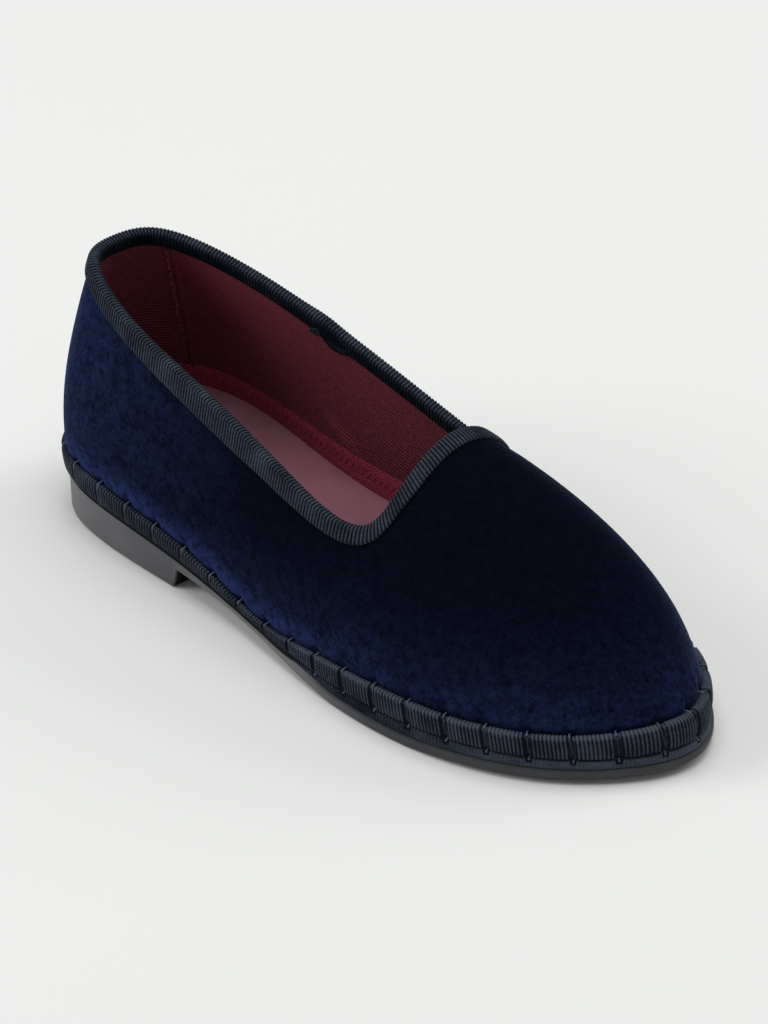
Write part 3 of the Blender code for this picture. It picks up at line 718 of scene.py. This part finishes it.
class SLIPPER_OT_rubber_sole(bpy.types.Operator):
    """Rubber sole with its heel, arch, stepped side and grooved tread"""
    bl_idname = "slipper.rubber_sole"
    bl_label = "Rubber Sole"

    def execute(self, context):
        pitch = context.scene.slipper_sizes.tread / MM
        ends = 6.0 * (1.0 - np.cos(np.linspace(0.0, 0.5 * np.pi, 22)))
        along = np.concatenate([ends, np.arange(6.4, LENGTH - 6.2, pitch / 6.0), LENGTH - ends[::-1]])
        along = along[(along < BREAST - 1.1) | (along > BREAST + BREAST_RUN + 1.0)]
        corner = BREAST + np.array([-0.8, -0.45, -0.15, 0.0, 0.35, 0.8, 1.25, BREAST_RUN, BREAST_RUN + 0.5])
        along = np.unique(np.concatenate([along, corner]))
        bed = profile(BED, along)
        arch = profile(UNDER, along)
        rise = np.clip((along - BREAST + 0.6) / (BREAST_RUN + 0.6), 0.0, 1.0)
        under = np.where(along < BREAST + BREAST_RUN, arch * rise ** 1.6, arch)
        blend = ramp(along, BREAST, BREAST_RUN)
        grown = ramp(along, STEP_FROM, STEP_RUN)
        step = under + (0.55 * (1.0 - blend) + (0.58 - 0.14 * grown) * blend) * (bed - under)
        back = STEP_BACK * grown
        taper = 0.2 * (1.0 - blend)
        half = taper * (bed - step) / (bed - under - SOLE_ROUND)
        notch = GROOVE * (1.0 - grown)
        lip = bed - np.minimum(0.95, 0.8 * (bed - step)) * (1.0 - grown) - 0.3 * grown
        foot = np.minimum(0.25, 0.3 * (lip - step))
        drop = step - under - SOLE_ROUND
        # from the bed over the side to the underside: inset from the outline, height
        levels = [
            (back + 6.0, bed), (back + 1.0, bed), (back + 0.2 + notch, bed - 0.05),
            (back + notch, lip + 0.06), (back, lip),
            (back + 0.5 * half, 0.5 * (lip + step)), (back + half, step + foot),
            (0.5 * back + half, step + 0.2 * foot),
            (half + 0.1 * grown, step - np.minimum(0.12, 0.3 * drop)),
            (half, step - np.minimum(0.3, 0.6 * drop)),
            (0.5 * (half + taper), under + SOLE_ROUND + 0.2 * drop), (taper, under + SOLE_ROUND),
            (taper + 0.1, under + 0.36), (taper + 0.35, under + 0.1), (taper + SOLE_ROUND, under),
        ]
        tread = np.abs(np.sin(np.pi * along / pitch))
        deep = TREAD_DEEP * ramp(tread, 0.55, -0.3)
        deep *= ramp(along, 5.0, 2.0) * ramp(along, LENGTH - 6.0, -2.0)
        deep *= np.clip(np.abs(along - BREAST - 1.0) / 2.0 - 1.5, 0.0, 1.0)
        sides = []
        for at in sides_at(along):
            spot, out = edge(at)
            sides.append([np.column_stack([spot - out * inset[:, None], tall]) for inset, tall in levels])
        inner = []
        for share in (0.10, 0.13, 0.30, 0.50, 0.70, 0.87, 0.90):
            line = sides[0][-1] * (1.0 - share) + sides[1][-1] * share
            line[:, 2] = under + (deep if 0.10 < share < 0.90 else 0.0)
            inner.append(line)
        points = np.stack(sides[0] + inner + sides[1][::-1], axis=1)
        count = len(sides[0])
        for end in (0, -1):
            middle = 0.5 * (points[end, :count] + points[end, -count:][::-1])
            points[end, :count] = middle
            points[end, -count:] = middle[::-1]
            points[end, count:-count] = middle[-1]
        points = np.concatenate([points, points[:, :1]], axis=1)
        # wear and painted light: lightest at the back of the heel and along the waist's thin lip
        worn = np.interp(along, (0.0, 53.0, 55.0, 75.0, 104.0, 128.0), (1.0, 0.24, 0.45, 0.8, 0.8, 0.0))
        wear_and_shade = np.repeat(worn[:, None], points.shape[1], axis=1)
        # painted shade on the heel's breast, nearly black
        breast = (along > BREAST - 0.7) & (along < BREAST + BREAST_RUN + 0.1)
        wear_and_shade[breast, count - 1:count + 8] = -1.0
        # painted shade in the groove under the rand
        groove = along < STEP_FROM + 6.0
        for column in (2, 3, 2 * count + 4, 2 * count + 3):
            wear_and_shade[groove, column] = -1.0
        material = rubber_material(context.scene.slipper_colours)
        lay_piece("rubber_sole", material, "outsole", points, tone=wear_and_shade, sharp=0.6)
        return {"FINISHED"}


class SLIPPER_OT_velvet_upper(bpy.types.Operator):
    """Velvet upper, puckered above the rand by its stitches"""
    bl_idname = "slipper.velvet_upper"
    bl_label = "Velvet Upper"

    def execute(self, context):
        at = np.arange(STITCHES * 20) / (STITCHES * 20.0)
        along = edge(at)[0][:, 0]
        top = rand_top(along)[0]
        waist = skin_at_height(at, np.column_stack([top - 1.5]))
        climb = np.linspace(0.0, 1.0, 42) ** 1.35
        up = np.concatenate([np.zeros_like(waist), 0.6 * waist, waist + (1.0 - waist) * climb], axis=1)
        skin = upper_skin(at, up)
        out = skin_normals(at, up)
        above = np.maximum(skin[:, :, 2] - top[:, None], 0.0)
        pull = bell(stitch_distance(at), 1.5)[:, None]
        depth = depth_below(skin)
        # pulled in at the stitches, full between them, pressed in under the binding and at the rand
        form = -0.6 * pull * bell(above, 2.2)
        form += 0.32 * (1.0 - pull) * bell(above - 1.6, 2.2)
        form -= 0.22 * bell(depth - 4.6, 1.8) + 0.3 * bell(above - 0.4, 0.7)
        form += 0.10 * wobble(at, 1.0)[:, None] * np.sin(np.pi * up) ** 2
        # painted light: lit blue along the foot and at the heel, near black on the vamp, and a painted sheen
        # just above the rand
        foot = bell(above, 11.5, 1.6) * (1.0 + 0.25 * wobble(at, 7.0))[:, None]
        heel = ramp(skin[:, :, 0], 78.0, -70.0) ** 0.8
        rand_sheen = bell(above - 2.2, 2.6) * ramp(along, 118.0, -30.0)[:, None]
        tone = np.clip(0.05 + np.maximum(0.45 * foot, 0.45 * heel) + 0.5 * rand_sheen, 0.0, 1.0)
        # painted shade in the crease right above the rand
        tone *= 1.0 - 0.5 * bell(above, 0.7)
        points = looped(skin + out * form[..., None])
        pattern = cloth_map(np.append(at, 1.0) * RIM, looped(depth))
        material = velvet_material(context.scene.slipper_colours)
        piece = lay_piece("velvet_upper", material, "upper", points, pattern, looped(tone))
        thicken(piece, VELVET_THICK)
        return {"FINISHED"}


class SLIPPER_OT_ribbons(bpy.types.Operator):
    """Ribbed ribbon: stitched rand, lower welt strip, collar binding and its join"""
    bl_idname = "slipper.ribbons"
    bl_label = "Ribbons"

    def rand(self, sizes, material):
        """Padded ribbon round the foot of the upper, pinched by each stitch."""
        ribs = ribs_round(sizes)
        at = np.arange(ribs * PER_RIB) / (ribs * PER_RIB)
        along = edge(at)[0][:, 0]
        share = (0.0, 0.07, 0.18, 0.34, 0.52, 0.70, 0.84, 0.94, 1.0)
        depth = (0.35, 0.85, 0.98, 1.0, 1.0, 1.0, 0.98, 0.90, 0.35)
        skin, out, swell, height = rand_section(at, share, depth, sizes)
        rib = np.cos(2.0 * np.pi * ribs * at)[:, None] * sizes.rib_height / MM
        fade = np.array([0.3, 0.8, 1.0, 1.0, 1.0, 1.0, 1.0, 0.9, 0.5])
        outer = skin + out * (RAND_OFF + swell + rib * fade)[..., None]
        inner = skin + out * 0.12
        low = profile(BED, along) + 0.15
        outer[:, 0, 2] = low + 0.15 * (1.0 + wobble(at, 8.0)) + 0.9 * bell(stitch_distance(at), 0.9)
        outer[:, :2, 2] += 0.5 * ramp(along, GRIP_FROM, -20.0)[:, None]
        inner[:, 0, 2] = low
        section = looped(section_of(outer, inner))
        pattern = cloth_map(rib_run(len(section), sizes), looped(section_of(height, height)))
        # painted highlight along the top edge at the forefoot, painted shade in the stitch clefts there, and
        # slightly darker behind the forefoot
        front = ramp(along, GRIP_FROM, 30.0)
        edge_highlight = np.zeros(section.shape[1])
        edge_highlight[7:9] = -0.4
        dark = 0.45 * front * bell(stitch_distance(at), 0.95, 4) + 0.1 * (1.0 - front)
        tone = looped(front[:, None] * edge_highlight + dark[:, None])
        lay_piece("grosgrain_rand", material, "foxing_band", section, pattern, tone, SOFT)

    def welt(self, sizes, material):
        """Ribbon strip on the rubber's upper step, with a needle hole under each stitch."""
        ribs = ribs_round(sizes)
        at = np.arange(ribs * PER_RIB + 1) / (ribs * PER_RIB)
        spot, out = edge(at)
        keep = spot[:, 0] > STEP_FROM
        at, spot, out = at[keep], spot[keep], out[keep]
        along = spot[:, 0]
        bed = profile(BED, along)
        under = profile(UNDER, along)
        grown = ramp(along, STEP_FROM, STEP_RUN)
        low = bed - ((0.42 + 0.14 * grown) * (bed - under) - 0.25) * grown ** 0.6
        wide = (bed - 0.05 - low)[:, None]
        share = np.array([0.0, 0.08, 0.3, 0.5, 0.68, 0.80, 0.92, 1.0])
        tall = low[:, None] + wide * share
        rib = np.cos(2.0 * np.pi * ribs * at)[:, None] * 0.03
        hole = np.exp(-(stitch_distance(at)[:, None] / 0.8) ** 4 - ((share - 0.95) * wide / 0.85) ** 4)
        stand = 0.16 + rib - 0.48 * hole
        stand[:, 0] = 0.0
        stand[:, -1] -= 0.15
        plan = np.column_stack([out, np.zeros(len(at))])
        inset = 0.1 + WELT_BACK * grown[:, None]
        base = np.column_stack([spot - out * inset, np.zeros(len(at))])[:, None]
        base = base + tall[..., None] * np.array([0.0, 0.0, 1.0])
        section = section_of(base + plan[:, None] * stand[..., None], base - plan[:, None] * 0.5)
        caps = np.repeat(section[[0, -1]].mean(axis=1)[:, None], section.shape[1], axis=1)
        section = np.concatenate([caps[:1], section, caps[1:]], axis=0)
        # painted shade in each needle hole; the strip is lighter towards the toe
        tone = 0.15 - 0.6 * ramp(along, 135.0, 40.0)[:, None] + 1.2 * hole
        across, tone = (np.pad(section_of(rows, rows), ((1, 1), (0, 0)), "edge") for rows in (tall, tone))
        pattern = cloth_map(rib_run(len(section), sizes), across)
        lay_piece("welt_ribbon", material, None, section, pattern, tone, SOFT)

    def binding(self, sizes, material):
        """Ribbon folded over the collar, evenly ribbed along its length."""
        line = upper_skin(FINE, np.array([1.0]))[:, 0]
        run = np.append(0.0, np.linalg.norm(np.diff(line, axis=0), axis=1).cumsum())
        ribs = round(run[-1] / (sizes.rib / MM))
        even = np.arange(ribs * PER_RIB) / (ribs * PER_RIB)
        at = np.interp(even * run[-1], run, FINE)
        quarters = sum(bell(at - mid, QUARTER_RUN) for mid in QUARTER_AT)
        outside = BINDING_OUT + QUARTER_WIDER * quarters + 0.16 * wobble(at, 3.0)
        within = BINDING_IN + 0.22 * wobble(at, 4.0)
        lap = bell(at - JOIN_AT, 0.011)
        rib = np.cos(2.0 * np.pi * ribs * even) * sizes.rib_height / MM
        legs = np.array([1.0, 0.93, 0.68, 0.40, 0.16, 0.0])
        up_out, up_in = (skin_below_collar(at, deep[:, None] * legs) for deep in (outside, within))
        skin_out, out = upper_skin(at, up_out), skin_normals(at, up_out)
        skin_in, out_in = upper_skin(at, up_in), skin_normals(at, up_in)
        crown, face = skin_out[:, -1], out[:, -1]
        over = crown - skin_out[:, 3]
        over /= np.linalg.norm(over, axis=1)[:, None]
        proud = (0.72 + rib + 0.35 * lap)[:, None]
        edge_in = np.array([0.45, 0.85, 1.0, 1.0, 1.0, 1.0])
        outer_leg = skin_out + out * (proud * edge_in)[..., None]
        inner_leg = skin_in - out_in * (WALL_THICK + proud * edge_in)[..., None]
        middle = crown - face * 0.5 * WALL_THICK
        half = 0.5 * WALL_THICK + proud
        fold = [middle + face * half * np.cos(a) + over * (proud + 0.05) * np.sin(a)
                for a in np.radians((18.0, 42.0, 66.0, 90.0, 114.0, 138.0, 162.0))]
        back_out = skin_out + out * 0.08
        back_in = skin_in - out_in * (WALL_THICK + 0.08)
        fold_back = [middle + face * (0.5 * WALL_THICK + 0.08) * np.cos(a) + over * 0.1 * np.sin(a)
                     for a in np.radians((135.0, 90.0, 45.0))]
        section = np.concatenate(
            [outer_leg[:, :5], np.stack(fold, axis=1), inner_leg[:, 4::-1],
             back_in[:, :5], np.stack(fold_back, axis=1), back_out[:, 4::-1], outer_leg[:, :1]], axis=1)
        across = np.append(0.0, np.linalg.norm(np.diff(section[0], axis=0), axis=1).cumsum())
        section = looped(section)
        pattern = cloth_map(rib_run(len(section), sizes), across)
        # painted shade on the ribbon's inner leg and back inside the collar
        painted_light_tone = np.full(section.shape[1], 0.1)
        painted_light_tone[10:22] = 0.5
        painted_light_tone = np.broadcast_to(painted_light_tone, section.shape[:2])
        lay_piece("grosgrain_binding", material, "topline_binding",
                  section, pattern, painted_light_tone, SOFT)

    def join(self, material):
        """Turned-in ribbon ends inside the medial collar: a folded end and two small curls."""
        mesh = bmesh.new()
        share = np.linspace(0.0, 1.0, 25)
        at = JOIN_AT + 0.001 + 0.017 * share
        drop = 3.1 + 0.9 * np.sin(np.pi * share) - 0.5 * share
        up = skin_below_collar(at, drop[:, None])
        body = inside(at, up, WALL_THICK + 0.75)[:, 0]
        # painted shade: the folded end is darkened where it lies under the binding
        lay_tube(mesh, body, 0.2 + 0.4 * np.sin(np.pi * share) ** 0.6, 12, 1.5, tone=0.6)
        spot_at = np.array([JOIN_AT - 0.0025])
        up = skin_below_collar(spot_at, np.array([[2.7]]))
        spot = upper_skin(spot_at, up)[0, 0]
        out = skin_normals(spot_at, up)[0, 0]
        ahead = upper_skin(spot_at + 0.002, up)[0, 0] - spot
        ahead /= np.linalg.norm(ahead)
        rise = np.cross(ahead, out)
        rise = rise if rise[2] > 0.0 else -rise
        turn = np.linspace(0.3, 2.1 * np.pi, 30)
        for shift, size in ((0.0, 0.85), (-1.15, 0.6)):
            centre = spot - out * (WALL_THICK + 0.95) + ahead * shift + rise * 0.35 * shift
            reach = (size - 0.04 * turn)[:, None]
            curl = centre + ahead * np.cos(turn)[:, None] * reach + rise * np.sin(turn)[:, None] * reach
            lay_tube(mesh, curl - out * (0.06 * turn)[:, None], 0.30 + 0.03 * np.cos(7.0 * turn), 9)
        dress("ribbon_join", mesh, material, None, SOFT)

    def execute(self, context):
        colours = context.scene.slipper_colours
        sizes = context.scene.slipper_sizes
        self.rand(sizes, ribbon_material(colours, sizes, "grosgrain_rand_ribbon", 0.42))
        self.welt(sizes, ribbon_material(colours, sizes, "grosgrain_welt_ribbon", 0.1))
        collar = ribbon_material(colours, sizes, "grosgrain_collar_ribbon", 0.42)
        self.binding(sizes, collar)
        self.join(collar)
        return {"FINISHED"}


class SLIPPER_OT_lining(bpy.types.Operator):
    """Burgundy lining with its heel seam, and the tape along the sock"""
    bl_idname = "slipper.lining"
    bl_label = "Lining"

    def execute(self, context):
        colours = context.scene.slipper_colours
        sizes = context.scene.slipper_sizes
        close = SEAM_AT + np.linspace(-0.008, 0.008, 41)
        at = np.arange(420) / 420.0
        at = np.sort(np.concatenate([at[np.abs(at - SEAM_AT) > 0.0085], close]))
        waist = skin_below_collar(at, np.full((len(at), 1), 2.6))
        up = 0.02 + (waist - 0.02) * np.linspace(0.0, 1.0, 56)
        skin = upper_skin(at, up)
        out = skin_normals(at, up)
        far = (at - SEAM_AT)[:, None] * RIM
        form = 0.80 * bell(far, 0.5) - 0.32 * bell(np.abs(far) - 1.1, 0.6)
        form = form + 0.06 * wobble(at, 5.0)[:, None] * np.sin(np.pi * up)
        # one slanting crease in the medial side
        way = ((at - 0.169) / 0.014)[:, None]
        crease = np.exp(-way ** 4 - ((up - 0.385 + 0.045 * way) / 0.035) ** 2)
        points = looped(skin - out * (0.95 - form + 0.4 * crease)[..., None])
        pattern = cloth_map(np.append(at, 1.0) * RIM, looped(depth_below(skin)))
        # painted shade deeper in the shoe, painted highlight along the crease
        rubbed = 0.42 * np.clip(1.1 - skin[:, :, 2] / 36.0, -0.5, 0.6) - 0.3 * crease
        material = lining_material(sizes, "rayon_lining", colours.lining, colours.lining_valley_shade, False)
        piece = lay_piece("lining", material, None, points, pattern, looped(rubbed))
        thicken(piece, LINING_THICK)
        self.tape(sizes, colours)
        return {"FINISHED"}

    def tape(self, sizes, colours):
        """Narrow tape over the lining's foot; its zigzag thread is made with the stitches."""
        at = np.arange(600) / 600.0
        sock = profile(SOCK_TOP, edge(at)[0][:, 0])
        share = np.linspace(0.0, 1.0, 7)
        height = sock[:, None] - 0.8 + share * (TAPE_WIDE + 0.25 * wobble(at, 6.0))[:, None]
        up = skin_at_height(at, height)
        stand = WALL_THICK + 0.28 - 0.2 * (share > 0.99)
        section = section_of(inside(at, up, stand[None, :, None]), inside(at, up, WALL_THICK - 0.1))
        pattern = cloth_map(np.append(at, 1.0) * RIM, looped(section_of(height, height)))
        material = lining_material(sizes, "cotton_tape", colours.tape, linear("601d2b"), True)
        lay_piece("lining_tape", material, None, looped(section), pattern)


class SLIPPER_OT_stitches(bpy.types.Operator):
    """Whip stitches round the rand, the tape's zigzag and the lining's seam stitches"""
    bl_idname = "slipper.stitches"
    bl_label = "Stitches"

    def whip(self, sizes, material):
        """A thread over the rand at each stitch, from the velvet to the welt."""
        share = np.array([0.02, 0.10, 0.25, 0.45, 0.65, 0.82, 0.94, 1.0])
        depth = (0.40, 0.85, 0.99, 1.0, 0.96, 0.82, 0.50, 0.0)
        radius = sizes.thread / MM
        mesh = bmesh.new()
        for k in range(STITCHES):
            at = np.array([(k + STITCH_PHASE) / STITCHES])
            skin, out, swell, _ = rand_section(at, share, depth, sizes)
            path = skin[0] + out[0] * (RAND_OFF + swell[0] + 0.6 * radius)[:, None]
            spot, face = edge(at)
            ahead = np.array([face[0, 1], -face[0, 0], 0.0])
            lean = 0.45 + 0.35 * np.sin(k * 2.4)
            path = path + ahead * (lean * (share - 0.5))[:, None]
            # at the forefoot the thread goes into the welt's needle hole, further back under the rand
            grown = ramp(spot[0, 0], STEP_FROM, STEP_RUN)
            well = np.append(spot[0] - face[0] * (0.15 + WELT_BACK * grown), profile(BED, spot[:, 0]) - 0.45)
            below = path[0] - np.append(face[0] * 0.9, 0.35)
            below = below + (well - below) * (grown > 0.5)
            root_low = below - np.append(face[0] * 0.6, 0.1)
            tip = path[-1] + np.array([0.0, 0.0, 0.12]) - out[0, -1] * 0.5
            root = tip + np.array([0.0, 0.0, 0.1]) - out[0, -1] * 0.8
            path = np.concatenate([[root_low, below], path, [tip, root]])
            lay_tube(mesh, path, radius, 8)
        dress("whip_stitches", mesh, material, None, SOFT)

    def zigzag(self, material):
        """Zigzag thread along the tape."""
        at = np.arange(ZIGZAGS * 4) / (ZIGZAGS * 4.0)
        sock = profile(SOCK_TOP, edge(at)[0][:, 0])
        swing = np.abs(np.mod(at * ZIGZAGS, 1.0) * 2.0 - 1.0)
        up = skin_at_height(at, (sock + 1.4 + 2.2 * swing)[:, None])
        mesh = bmesh.new()
        lay_tube(mesh, looped(inside(at, up, WALL_THICK + 0.34)[:, 0]), 0.12, 6, ends=False)
        dress("tape_zigzag", mesh, material, None, SOFT)

    def seam(self, material):
        """Pale stitches down one lip of the lining's heel seam."""
        mesh = bmesh.new()
        for k in range(SEAM_STITCHES):
            depth = 4.6 + 2.5 * k + np.linspace(0.0, 1.5, 6)
            at = np.full(6, SEAM_AT - 0.0021 + 0.0004 * np.sin(3.0 * k))
            up = skin_below_collar(at, depth[:, None])
            arch = np.sin(np.linspace(0.0, np.pi, 6))
            path = inside(at, up, (WALL_THICK + 0.14 + 0.22 * arch)[:, None, None])[:, 0]
            lay_tube(mesh, path, 0.18, 6)
        dress("seam_stitches", mesh, material, None, SOFT)

    def execute(self, context):
        colours = context.scene.slipper_colours
        sizes = context.scene.slipper_sizes
        # 1b2130 is the painted shade along each whip stitch's middle
        self.whip(sizes, thread_material("waxed_thread", colours.thread, linear("1b2130"), 0.32))
        self.zigzag(thread_material("tape_thread", linear("a04458"), linear("a04458"), 0.6))
        self.seam(thread_material("seam_thread", colours.seam_thread, colours.seam_thread, 0.6))
        return {"FINISHED"}


class SLIPPER_OT_sock(bpy.types.Operator):
    """Leather sock, a little dished, on its filler"""
    bl_idname = "slipper.sock"
    bl_label = "Sock"

    def execute(self, context):
        along = 0.5 * LENGTH * (1.0 - np.cos(np.linspace(0.0, np.pi, 120)))
        sides = []
        for at in sides_at(along):
            sock = profile(SOCK_TOP, edge(at)[0][:, 0])
            for _ in range(2):
                flat = lining_at_height(at, sock, WALL_THICK + 0.42)
                sock = profile(SOCK_TOP, flat[:, 0])
            out = edge(at)[1]
            foot = lining_at_height(at, profile(BED, flat[:, 0]) + GAP, WALL_THICK + 0.6)
            sides.append([
                np.column_stack([flat - out * 0.9, sock]),
                np.column_stack([flat - out * 0.3, sock - 0.12]),
                np.column_stack([flat, sock - 0.5]),
                np.column_stack([foot, profile(BED, foot[:, 0]) + GAP]),
            ])
        dish = ramp(np.minimum(along, LENGTH - along), 0.0, 25.0)
        across = []
        for share in np.linspace(0.0, 1.0, 15)[1:-1]:
            line = sides[1][0] * (1.0 - share) + sides[0][0] * share
            line[:, 2] -= 0.5 * np.sin(np.pi * share) ** 0.7 * dish
            across.append(line)
        points = np.stack(sides[0] + sides[1][::-1] + across, axis=1)
        for end in (0, -1):
            middle = 0.5 * (points[end, :4] + points[end, 4:8][::-1])
            points[end, :4] = middle
            points[end, 4:8] = middle[::-1]
            points[end, 8:] = middle[0]
        points = np.concatenate([points, points[:, :1]], axis=1)
        material = sock_material(context.scene.slipper_colours)
        lay_piece("insole_sock", material, "insole", points)
        return {"FINISHED"}


class SLIPPER_OT_stage(bpy.types.Operator):
    """Pale floor, soft studio light and the camera"""
    bl_idname = "slipper.stage"
    bl_label = "Stage"

    def execute(self, context):
        scene = context.scene
        mesh = bmesh.new()
        bmesh.ops.create_grid(mesh, x_segments=8, y_segments=8, size=6.0)
        data = bpy.data.meshes.new("studio_floor")
        mesh.to_mesh(data)
        mesh.free()
        data.materials.append(floor_material(scene.slipper_colours))
        floor = bpy.data.objects.new("studio_floor", data)
        scene.collection.objects.link(floor)

        world = bpy.data.worlds.new("studio")
        world.use_nodes = True
        world.node_tree.nodes["Background"].inputs["Color"].default_value = linear("f4f6fa")
        world.node_tree.nodes["Background"].inputs["Strength"].default_value = 0.3
        scene.world = world
        # softboxes: place, aim, size in metres, watts
        for name, place, aim, size, watts in (
                ("key", (-0.95, -1.0, 0.85), (0.0, 0.0, 0.03), 0.9, 9.0),
                ("top", (0.0, 0.1, 1.7), (0.0, 0.0, 0.0), 1.5, 15.0),
                ("rim", (0.45, 1.2, 0.8), (0.03, 0.0, 0.03), 0.9, 5.0)):
            light = bpy.data.lights.new(name, "AREA")
            light.shape = "DISK"
            light.size = size
            light.energy = watts
            lamp = bpy.data.objects.new(name, light)
            lamp.location = place
            lamp.rotation_euler = (Vector(aim) - Vector(place)).to_track_quat("-Z", "Y").to_euler()
            scene.collection.objects.link(lamp)

        camera = bpy.data.objects.new("camera", bpy.data.cameras.new("camera"))
        camera.location = CAMERA_AT
        camera.rotation_euler = (Vector(CAMERA_AIM) - camera.location).to_track_quat("-Z", "Y").to_euler()
        camera.rotation_euler.rotate_axis("Z", np.radians(CAMERA_ROLL))
        camera.data.lens = CAMERA_LENS
        camera.data.clip_start = 0.05
        camera.data.clip_end = 20.0
        scene.collection.objects.link(camera)
        scene.camera = camera
        scene.view_settings.view_transform = "Standard"
        return {"FINISHED"}


class SLIPPER_PT_pieces(bpy.types.Panel):
    """Sizes, colours and pieces of the slipper"""
    bl_idname = "SLIPPER_PT_pieces"
    bl_label = "Slipper"
    bl_space_type = "VIEW_3D"
    bl_region_type = "UI"
    bl_category = "Slipper"

    def draw(self, context):
        for group in (context.scene.slipper_sizes, context.scene.slipper_colours):
            box = self.layout.box()
            for name in group.__annotations__:
                box.prop(group, name)
        for operator in OPERATORS:
            self.layout.operator(operator.bl_idname)


OPERATORS = (
    SLIPPER_OT_stage, SLIPPER_OT_rubber_sole, SLIPPER_OT_sock, SLIPPER_OT_velvet_upper,
    SLIPPER_OT_ribbons, SLIPPER_OT_lining, SLIPPER_OT_stitches,
)
CLASSES = (SlipperColours, SlipperSizes) + OPERATORS + (SLIPPER_PT_pieces,)


def register():
    for cls in CLASSES:
        bpy.utils.register_class(cls)
    bpy.types.Scene.slipper_colours = bpy.props.PointerProperty(type=SlipperColours)
    bpy.types.Scene.slipper_sizes = bpy.props.PointerProperty(type=SlipperSizes)


def unregister():
    del bpy.types.Scene.slipper_sizes
    del bpy.types.Scene.slipper_colours
    for cls in reversed(CLASSES):
        bpy.utils.unregister_class(cls)


def main():
    """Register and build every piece."""
    register()
    bpy.ops.slipper.stage()
    bpy.ops.slipper.rubber_sole()
    bpy.ops.slipper.sock()
    bpy.ops.slipper.velvet_upper()
    bpy.ops.slipper.ribbons()
    bpy.ops.slipper.lining()
    bpy.ops.slipper.stitches()


if __name__ == "__main__":
    main()
